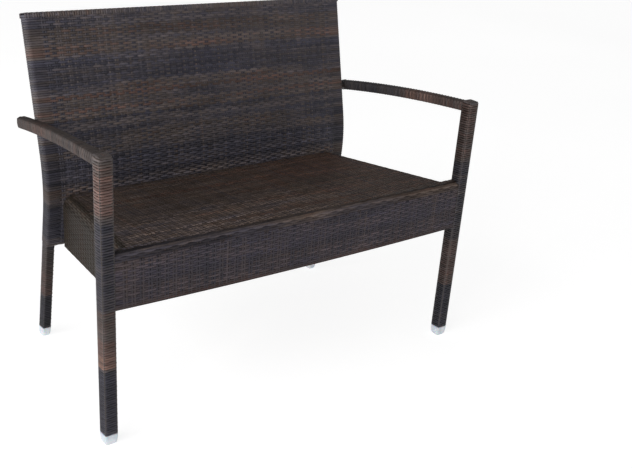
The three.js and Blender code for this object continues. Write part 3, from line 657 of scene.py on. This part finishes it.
def winding(section, centre, axis_length, bands, offset=0, pitch=WOUND_PITCH, topside=1.0,
            left=1.0, front=1.0, streak=1.0):
    """One strand wound round a bar, with a level turn at both ends.

    centre(s) gives the axis point and the section's two directions at the distance s along it.
    bands: (place, tone, lightness), with the places counted from -offset. topside, left, front and
    streak are painted light and shade: factors on the lightness where the winding faces up, to the
    left and to the front, and a painted highlight half-way between left and front.
    """
    lengths = arc_lengths(section)
    perimeter = lengths[-1]
    turns = axis_length / pitch + 2
    t = np.arange(0, turns, 1 / WOUND_STEPS)

    def surface(around, s):
        around = np.mod(around, perimeter)
        a = np.interp(around, lengths, section[:, 0])
        b = np.interp(around, lengths, section[:, 1])
        origin, first, second = centre(s)
        return origin + first * a[..., None] + second * b[..., None]

    around = t * perimeter
    s = np.clip((t - 1) * pitch, 0, axis_length)
    step = 0.5
    points = surface(around, s)
    direction = unit(surface(around + step, s) - surface(around - step, s))
    along = unit(surface(around, s + step) - surface(around, s - step))
    normal = unit(np.cross(direction, along))
    swing = WOUND_WAVE * np.cos(2 * math.pi * WOUND_LOOPS * t)
    rough = 0.08 * uneven(t, 0.7)
    points = points + normal * (swing + rough - WOUND_WAVE - WOUND_THICK / 2)[:, None]
    places, tones, lights = zip(*bands)
    tone = np.interp(s + offset, places, tones) + 0.07 * uneven(t, 1)
    light = np.interp(s + offset, places, lights) * (1 + 0.2 * uneven(t, 0.5))
    to_corner = -(normal[:, 0] + normal[:, 1]) / math.sqrt(2)
    # Painted light and shade by facing. Factor on the lightness, how far the winding faces its way,
    # and where it begins and is whole
    facings = [
        (topside, normal[:, 2], 0.3, 0.8),
        (left, -normal[:, 0], 0.7, 0.98),
        (front, -normal[:, 1], 0.7, 0.98),
        (streak, to_corner, 0.72, 0.9),
    ]
    for factor, towards, begins, whole in facings:
        light = light * (1 + (factor - 1) * smooth_step(begins, whole, towards))
    strands = Strands()
    strands.add(points, direction, normal, pitch + 0.1, WOUND_THICK, tone, light)
    return strands


def upright_centre(x, y, z):
    """Axis of an upright bar for winding, from the point x, y, z upwards."""
    def centre(s):
        return stacked(x, y, z + s), TO_RIGHT, TO_REAR
    return centre


def make_front_legs(wicker):
    # The third column is lightness: colour bands of the strands, and painted shade on the right leg,
    # which faces the dark underside of the bench
    bands = {
        "left": [(27, 0.05, 0.95), (186, 0.08, 0.95), (190, 0.9, 1.5), (256, 0.85, 1.35),
                 (261, 0.6, 1.15), (322, 0.55, 1.1), (330, 0.2, 0.95), (440, 0.12, 0.85),
                 (515, 0.15, 0.9), (545, 0.8, 1.5), (610, 0.8, 1.45), (640, 0.55, 1.25),
                 (664, 0.36, 1.1)],
        "right": [(27, 0.05, 0.7), (153, 0.08, 0.7), (158, 0.75, 0.95), (285, 0.7, 0.9),
                  (295, 0.3, 0.7), (330, 0.2, 0.7), (440, 0.3, 0.75), (460, 0.2, 0.75),
                  (500, 0.25, 0.8), (515, 0.6, 1), (664, 0.75, 1)],
    }
    bottom, top = FOOT + 0.5, LEG_TOP - CAP_ROUND
    # Painted light and shade: lightness of the faces to the left and to the front, and a painted
    # highlight on the corner between them
    faces = {"left": (1.18, 0.9, 1.25), "right": (0.7, 0.95, 1.6)}
    section = wound_section(LEG, LEG)
    for side, sign in SIDES:
        centre = upright_centre(sign * LEG_AXIS_X, LEG / 2, bottom + WOUND_PITCH / 2)
        left, front, streak = faces[side]
        strands = winding(section, centre, top - bottom - WOUND_PITCH, bands[side], offset=bottom,
                          left=left, front=front, streak=streak)
        strands.mesh(f"front_leg_winding_{side}", [f"front_leg_wrap_{side}"], "wrap_wicker", wicker)


def make_leg_caps(wicker):
    """Small woven squares over the tops of the front legs."""
    count, stake_count, stake_pitch = 8, 5, 6.5
    corner_cut = 0.12                # how far the corners are pulled in
    half, radius = LEG / 2 - 1, CAP_ROUND
    line = Line(arc((-half + radius, -radius), radius, 180, 90)
                + arc((half - radius, -radius), radius, 90, 0))
    middle = line.length / 2
    reach = middle - 1
    places = -reach + (np.arange(count) + 0.5) * (2 * reach / count)
    spans = [(v, -reach, reach) for v in places]
    stake_u = (np.arange(stake_count) - stake_count // 2) * stake_pitch
    for side, sign in SIDES:
        def surface(u, v):
            x, drop_x = line.at(u + middle)
            y, drop_y = line.at(v + middle)
            inward = 1 - corner_cut * (np.abs(x * y) / half ** 2) ** 3
            x, y = x * inward, y * inward
            return stacked(sign * LEG_AXIS_X + x, LEG / 2 + y,
                           LEG_TOP + np.minimum(drop_x, drop_y))

        tones = Tones([(-30, 0.5), (30, 0.55)], drift=0.05)
        rows, stakes = woven(surface, spans, tones, stake_u, lambda u: (-reach, reach), wave=0.3,
                             stake_width=2.6, stake_tone=0.5)
        rows.mesh(f"front_cap_rows_{side}", [f"front_leg_cap_{side}"], "wrap_wicker", wicker)
        stakes.mesh(f"front_cap_stakes_{side}", [], "wrap_wicker", wicker)


def make_rear_legs(wicker):
    bands = {
        "left": [(27, 0.05, 0.72), (127, 0.08, 0.72), (131, 0.8, 1), (200, 0.7, 0.95),
                 (230, 0.5, 0.9), (290, 0.36, 0.9)],
        "right": [(27, 0.1, 1), (120, 0.15, 1), (160, 0.6, 1), (230, 0.5, 1), (290, 0.35, 1)],
    }
    bottom, top = FOOT + 0.5, BACK_BOTTOM - 0.5
    section = wound_section(UPRIGHT_X + REAR_WOUND, UPRIGHT_Y / math.cos(RAKE) + REAR_WOUND)
    for side, sign in SIDES:
        def centre(s):
            y, z = lower_point(bottom + WOUND_PITCH / 2 + s)
            return stacked(sign * UPRIGHT_AXIS_X, y, z), TO_RIGHT, TO_REAR

        # front=0.57 is painted shade on the faces of the rear legs that face the front
        strands = winding(section, centre, top - bottom - WOUND_PITCH, bands[side], offset=bottom,
                          front=0.57)
        strands.mesh(f"rear_leg_winding_{side}", [f"rear_leg_wrap_{side}"], "wrap_wicker", wicker)


def arm_centre(sign, start):
    """Axis of an arm from its distance start behind the leg: a flat arc that toes in."""
    radius = ARM_RADIUS - ARM_SIDE / 2
    turn = sign * ARM_TOE_IN
    ahead = np.array([-math.sin(turn), math.cos(turn), 0])
    aside = np.array([math.cos(turn), math.sin(turn), 0])

    def centre(s):
        angle = ARM_START_ANGLE + (start + s) / ARM_RADIUS
        run = radius * np.sin(angle) - ARM_RADIUS * math.sin(ARM_START_ANGLE)
        rise = ARM_TOP - ARM_RADIUS * math.cos(ARM_START_ANGLE) + radius * np.cos(angle)
        origin = (np.array([sign * LEG_AXIS_X, LEG / 2, 0])
                  + run[..., None] * ahead + rise[..., None] * UPWARD)
        normal = np.sin(angle)[..., None] * ahead + np.cos(angle)[..., None] * UPWARD
        return origin, -np.broadcast_to(aside, normal.shape), normal

    return centre


def make_arms(wicker):
    """Arms wound along their arc, with strands over the rounded rear end."""
    bands = {
        "left": [(0, 0.5, 1), (120, 0.54, 0.95), (230, 0.54, 0.9), (330, 0.75, 0.95), (485, 0.5, 0.8)],
        "right": [(0, 0.6, 1), (60, 0.75, 1), (150, 0.9, 1.3), (190, 0.9, 1.25), (240, 0.35, 0.75),
                  (330, 0.3, 0.62), (485, 0.35, 0.65)],
    }
    section = wound_section(ARM_SIDE, ARM_SIDE)
    start = (LEG / 2 + 1) / math.cos(ARM_TOE_IN)
    length = ARM_LENGTH - start - ARM_END
    for side, sign in SIDES:
        centre = arm_centre(sign, start)
        # topside=0.7 is painted shade on the top faces of the arms
        strands = winding(section, centre, length, bands[side], pitch=ARM_PITCH, topside=0.7)
        add_arm_end(strands, centre, length, bands[side][-1][1])
        strands.mesh(f"arm_winding_{side}", [f"arm_wrap_{side}"], "wrap_wicker", wicker)


def add_arm_end(strands, centre, length, tone):
    """Strands that close the rounded rear end of an arm, from its top face to its lower face."""
    half, radius, overlap = ARM_SIDE / 2 - 1.3, 6.0, 2
    count, margin, width, steps = 5, 3.6, 5.2, 17
    line = Line([(-overlap, half)] + arc((0, half - radius), radius, 90, 0)
                + arc((0, -half + radius), radius, 0, -90) + [(-overlap, -half)])
    s, height = line.at(np.linspace(0, line.length, steps))
    for column, x in enumerate(np.linspace(-half + margin, half - margin, count)):
        outermost = column in (0, count - 1)
        short, low = (0.9, 0.856) if outermost else (0, 1)
        origin, aside, up = centre(length + s - short)
        points = origin + aside * x + up * (height * low)[:, None]
        direction = unit(np.gradient(points, axis=0))
        normal = unit(np.cross(direction, -aside * np.ones_like(points)))
        inward = STRAND_THICK / 2 + 0.2 * (column % 2)
        strands.add(points - normal * inward, direction, normal, width, STRAND_THICK,
                    tone + rng.normal(0, 0.05))


# ---------------------------------------------------------------- feet

def make_foot(name, x, y, width, depth, lean, material):
    """Moulded foot: a soft-edged square head, rounded below, on a peg that plugs into the tube."""
    outline = soft_square(32, FOOT_SQUARENESS)
    # Height, and share of the full width there; the peg begins at the head's top, FOOT
    levels = [(0.0, 0.52), (0.4, 0.62), (1.6, 0.74), (4.0, 0.85), (8.0, 0.92), (14.0, 0.965),
              (20.0, 0.99), (24.5, 1.0), (26.0, 0.99), (26.9, 0.95), (27.0, 0.62), (45.0, 0.62)]
    rings = []
    for z, scale in levels:
        across = outline * (width / 2 * scale, depth / 2 * scale)
        rings.append(stacked(x + across[:, 0], y + across[:, 1] - z * lean, z))
    points = placed(np.vstack(rings))
    index = np.arange(len(points)).reshape(len(levels), -1)
    faces = [*quads_between(index).tolist(), index[0][::-1].tolist(), index[-1].tolist()]
    mesh = smooth_mesh(name + "_moulded", points, faces)
    add_piece(name + "_moulded", mesh, [name], material)


def make_feet(material):
    """Feet a little narrower all round than the windings that they close."""
    front = LEG - 1
    rear_width, rear_depth = UPRIGHT_X + REAR_WOUND - 1, UPRIGHT_Y + REAR_WOUND - 1
    rear_y = lower_point(0)[0]
    for side, sign in SIDES:
        make_foot(f"foot_front_{side}", sign * LEG_AXIS_X, LEG / 2, front, front, 0, material)
        make_foot(f"foot_rear_{side}", sign * UPRIGHT_AXIS_X, rear_y, rear_width, rear_depth,
                  math.tan(RAKE), material)


# ---------------------------------------------------------------- materials

def srgb(red, green, blue):
    """8-bit display colour as linear light, for a colour socket."""
    def linear(value):
        value /= 255
        return value / 12.92 if value <= 0.04045 else ((value + 0.055) / 1.055) ** 2.4
    return linear(red), linear(green), linear(blue), 1.0


class Nodes:
    """Short calls for building a node tree."""

    def __init__(self, name):
        self.material = bpy.data.materials.new(name)
        self.material.use_nodes = True
        self.tree = self.material.node_tree
        self.shader = self.tree.nodes["Principled BSDF"]

    def new(self, kind, **settings):
        node = self.tree.nodes.new(kind)
        for key, value in settings.items():
            setattr(node, key, value)
        return node

    def link(self, source, target):
        self.tree.links.new(source, target)

    def noise(self, vector, scale, detail=2.0):
        node = self.new("ShaderNodeTexNoise")
        node.inputs["Scale"].default_value = scale
        node.inputs["Detail"].default_value = detail
        self.link(vector, node.inputs["Vector"])
        return node.outputs["Fac"]

    def math(self, operation, first, second):
        node = self.new("ShaderNodeMath", operation=operation)
        self.link(first, node.inputs[0])
        self.link(second, node.inputs[1])
        return node.outputs[0]

    def stretched(self, vector, scale):
        """A vector scaled along its axes, for noise that is drawn out along a strand."""
        node = self.new("ShaderNodeMapping")
        node.inputs["Scale"].default_value = scale
        self.link(vector, node.inputs["Vector"])
        return node.outputs["Vector"]

    def spread(self, value, low, high):
        """Takes 0.3..0.7 of a noise to low..high."""
        node = self.new("ShaderNodeMapRange")
        self.link(value, node.inputs["Value"])
        node.inputs["From Min"].default_value = 0.3
        node.inputs["From Max"].default_value = 0.7
        node.inputs["To Min"].default_value = low
        node.inputs["To Max"].default_value = high
        return node.outputs["Result"]

    def ramp(self, value, stops):
        node = self.new("ShaderNodeValToRGB")
        elements = node.color_ramp.elements
        while len(elements) < len(stops):
            elements.new(0.5)
        for element, (place, colour) in zip(elements, stops):
            element.position = place
            element.color = colour
        self.link(value, node.inputs["Fac"])
        return node.outputs["Color"]

    def tinted(self, colour, factor):
        """Colour multiplied by a grey value."""
        node = self.new("ShaderNodeVectorMath", operation="SCALE")
        self.link(colour, node.inputs[0])
        self.link(factor, node.inputs["Scale"])
        return node.outputs["Vector"]

    def bump(self, height, distance, strength=1.0):
        node = self.new("ShaderNodeBump")
        node.inputs["Distance"].default_value = distance
        node.inputs["Strength"].default_value = strength
        self.link(height, node.inputs["Height"])
        self.link(node.outputs["Normal"], self.shader.inputs["Normal"])


# Tone of a strand, from blue-black to orange-brown, and its 8-bit display colour
WICKER_SHADES = [
    (0.00, (38, 37, 44)), (0.18, (43, 41, 46)), (0.36, (55, 50, 51)), (0.52, (55, 49, 47)),
    (0.68, (56, 46, 43)), (0.84, (64, 49, 45)), (1.00, (73, 56, 49)),
]


def wicker_material(name, brightness, gloss, tint=(1, 1, 1)):
    """Extruded strand in mixed browns and blue-greys, finely ribbed along its length."""
    nodes = Nodes(name)
    tone = nodes.new("ShaderNodeAttribute", attribute_name="tone").outputs["Fac"]
    strand = nodes.new("ShaderNodeAttribute", attribute_name="strand").outputs["Vector"]
    light = nodes.new("ShaderNodeAttribute", attribute_name="light").outputs["Fac"]
    blotches = nodes.noise(nodes.stretched(strand, (0.02, 1.0, 1.0)), 1.0, 3.0)
    ribs = nodes.noise(nodes.stretched(strand, (0.06, 9.0, 1.0)), 1.0, 4.0)

    palette = nodes.math("ADD", tone, nodes.spread(blotches, -0.14, 0.14))
    stops = []
    for place, shade in WICKER_SHADES:
        stops.append((place, srgb(*(value * share for value, share in zip(shade, tint)))))
    colour = nodes.ramp(palette, stops)
    # The light attribute carries random lightness of the strands and the painted light and shade of
    # the surfaces
    strength = nodes.math("MULTIPLY", light, nodes.spread(ribs, 0.78 * brightness, 1.25 * brightness))
    nodes.link(nodes.tinted(colour, strength), nodes.shader.inputs["Base Color"])
    nodes.link(nodes.spread(ribs, 0.38, 0.56), nodes.shader.inputs["Roughness"])
    nodes.shader.inputs["Specular IOR Level"].default_value = gloss
    nodes.bump(ribs, 0.0004)
    return nodes.material


def coated_metal():
    """Dark brown powder coat: fine orange-peel texture and slightly uneven gloss."""
    nodes = Nodes("powder_coat")
    place = nodes.new("ShaderNodeTexCoord").outputs["Object"]
    cloud = nodes.noise(place, 14.0, 3.0)
    peel = nodes.noise(place, 900.0, 2.0)
    colour = nodes.ramp(cloud, [(0.3, srgb(34, 27, 24)), (0.7, srgb(46, 37, 33))])
    nodes.link(colour, nodes.shader.inputs["Base Color"])
    nodes.link(nodes.spread(peel, 0.38, 0.55), nodes.shader.inputs["Roughness"])
    nodes.bump(peel, 0.0002, 0.6)
    return nodes.material


def foot_material():
    """Milky light-grey moulded plastic with faint scuffs."""
    nodes = Nodes("milky_plastic")
    place = nodes.new("ShaderNodeTexCoord").outputs["Object"]
    cloud = nodes.noise(place, 60.0, 3.0)
    grain = nodes.noise(place, 500.0, 2.0)
    colour = nodes.ramp(cloud, [(0.3, srgb(176, 183, 192)), (0.7, srgb(206, 211, 216))])
    nodes.link(colour, nodes.shader.inputs["Base Color"])
    nodes.link(nodes.spread(cloud, 0.3, 0.45), nodes.shader.inputs["Roughness"])
    nodes.shader.inputs["Subsurface Weight"].default_value = 0.3
    nodes.shader.inputs["Subsurface Scale"].default_value = 0.004
    nodes.bump(grain, 0.0003, 0.5)
    return nodes.material


def floor_material():
    """Plain pale studio floor, partly self-lit, so that it fades into the white around it."""
    nodes = Nodes("pale_floor")
    place = nodes.new("ShaderNodeTexCoord").outputs["Object"]
    cloud = nodes.noise(place, 0.6, 2.0)
    colour = nodes.ramp(cloud, [(0.3, (0.43, 0.43, 0.43, 1)), (0.7, (0.46, 0.46, 0.46, 1))])
    nodes.link(colour, nodes.shader.inputs["Base Color"])
    nodes.shader.inputs["Roughness"].default_value = 0.9
    nodes.shader.inputs["Specular IOR Level"].default_value = 0.1
    nodes.shader.inputs["Emission Color"].default_value = (1, 1, 1, 1)
    nodes.shader.inputs["Emission Strength"].default_value = 0.76
    return nodes.material


# ---------------------------------------------------------------- frame

def finish_frame(material):
    """The tubes, rails, bearers, posts and spacers keep their meshes and get the powder coat."""
    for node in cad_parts.values():
        if not node.hide_render:
            for slot in node.material_slots:
                slot.material = material


# ---------------------------------------------------------------- floor, light and camera

def make_floor():
    """A square of floor, far wider than the view."""
    mesh = bpy.data.meshes.new("floor")
    half = 12
    mesh.from_pydata([(-half, -half, 0), (half, -half, 0), (half, half, 0), (-half, half, 0)], [],
                     [(0, 1, 2, 3)])
    mesh.materials.append(floor_material())
    floor = bpy.data.objects.new("floor", mesh)
    bpy.context.scene.collection.objects.link(floor)


def make_studio():
    """White surroundings that darken overhead, and two soft lamps from the left."""
    world = bpy.data.worlds.new("studio")
    world.use_nodes = True
    tree = world.node_tree
    direction = tree.nodes.new("ShaderNodeTexCoord")
    split = tree.nodes.new("ShaderNodeSeparateXYZ")
    ramp = tree.nodes.new("ShaderNodeValToRGB")
    ramp.color_ramp.elements[0].color = (1, 1, 1, 1)
    ramp.color_ramp.elements[1].color = (0.35, 0.35, 0.35, 1)
    tree.links.new(direction.outputs["Generated"], split.inputs[0])
    tree.links.new(split.outputs["Z"], ramp.inputs["Fac"])
    tree.links.new(ramp.outputs["Color"], tree.nodes["Background"].inputs["Color"])
    tree.nodes["Background"].inputs["Strength"].default_value = 0.75
    bpy.context.scene.world = world
    add_light("key", (-4.2, -0.4, 2.2), 3.0, 105)
    add_light("front", (-3.3, -2.5, 1.8), 1.2, 45)


def add_light(name, place, size, power):
    data = bpy.data.lights.new(name, "AREA")
    data.shape = "SQUARE"
    data.size = size
    data.energy = power
    lamp = bpy.data.objects.new(name, data)
    lamp.location = place
    target = Vector((0, 0, 0.4))
    lamp.rotation_euler = (target - Vector(place)).to_track_quat("-Z", "Y").to_euler()
    bpy.context.scene.collection.objects.link(lamp)


def make_camera():
    """View from the front left and from above, with a small roll."""
    yaw, pitch, roll = math.radians(39.56), math.radians(-25.23), math.radians(4.995)
    ahead = Vector((math.sin(yaw) * math.cos(pitch), math.cos(yaw) * math.cos(pitch), math.sin(pitch)))
    level = Vector((math.cos(yaw), -math.sin(yaw), 0))
    upward = level.cross(ahead)
    right = math.cos(roll) * level + math.sin(roll) * upward
    up = math.cos(roll) * upward - math.sin(roll) * level
    data = bpy.data.cameras.new("camera")
    data.sensor_width = 36
    data.lens = 54.71
    data.shift_x, data.shift_y = -0.02357, 0.0558
    data.clip_start, data.clip_end = 0.05, 100
    camera = bpy.data.objects.new("camera", data)
    bpy.context.scene.collection.objects.link(camera)
    turn = Matrix((right, up, -ahead)).transposed().to_4x4()
    camera.matrix_world = Matrix.Translation((-1.24799, -1.87827, 1.27926)) @ turn
    bpy.context.scene.camera = camera


# ---------------------------------------------------------------- everything together

make_camera()
make_floor()
make_studio()
# Copies of one wicker material: they differ in tint, and their brightness partly stands in for light,
# with the back, tilted up to the light, painted lighter than the seat and the front apron
lit_back_wicker = wicker_material("wicker_back", 2.22, 0.22)
shaded_seat_wicker = wicker_material("wicker_seat", 1.4, 0.08, (1.02, 0.98, 0.92))
shaded_apron_wicker = wicker_material("wicker_apron", 1.42, 0.22, (1.03, 0.98, 1.02))
side_finish = wicker_material("wicker_side_apron", 0.57, 0.1, (1.02, 1, 0.9))
wrap_finish = wicker_material("wicker_wrap", 1.54, 0.3)
make_back(lit_back_wicker)
make_top_band(lit_back_wicker)
make_seat(shaded_seat_wicker)
make_front_apron(shaded_apron_wicker)
for side, sign in SIDES:
    make_side_apron(side, sign, side_finish)
make_front_legs(wrap_finish)
make_leg_caps(wrap_finish)
make_rear_legs(wrap_finish)
make_arms(wrap_finish)
make_feet(foot_material())
finish_frame(coated_metal())
bpy.context.scene.view_settings.view_transform = "Standard"
